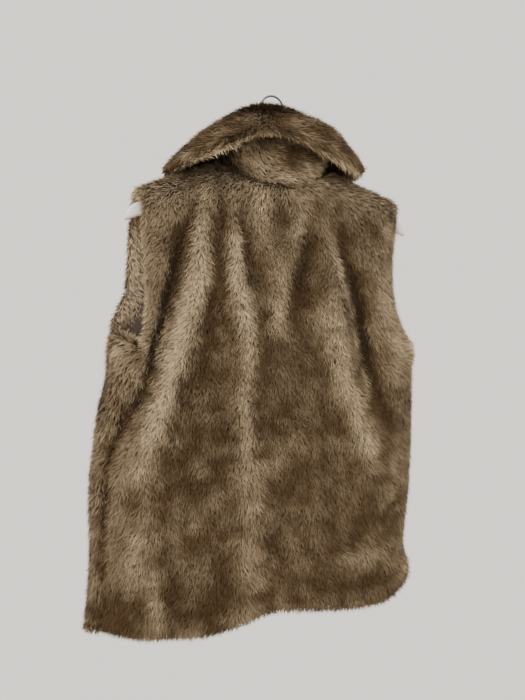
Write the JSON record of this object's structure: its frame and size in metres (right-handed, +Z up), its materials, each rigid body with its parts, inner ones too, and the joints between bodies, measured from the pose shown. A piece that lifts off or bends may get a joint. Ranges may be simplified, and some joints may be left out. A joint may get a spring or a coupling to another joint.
{
  "type": "faux fur vest on a coat hanger",
  "caption": "Sleeveless faux fur vest with a folded-over wide collar, lined, hanging closed on a plain coat hanger with a wire hook.",
  "frame": {"origin": "inner top of the hanger's hook, where a peg carries it", "axes": "+Z up, the garment's back faces -Y, its front faces +Y, +X to the right as its back is seen"},
  "size_m": [0.512, 0.1927, 0.7912],
  "materials": {
    "faux_fur": "long soft pile, dark brown with lighter ridges",
    "collar_fur": "long soft pile, brown",
    "lining_satin": "dull satin weave, dark taupe",
    "white_paint": "white paint, satin",
    "hook_steel": "dark grey wire, satin"
  },
  "bodies": {
    "root": {"back_panel": "faux_fur", "front_left": "faux_fur", "front_right": "faux_fur", "under_collar": "collar_fur", "upper_collar": "collar_fur", "lining_back": "lining_satin", "lining_front_left": "lining_satin", "lining_front_right": "lining_satin", "hanger_arms": "white_paint", "hanger_hook": "hook_steel"}
  },
  "joints": []
}
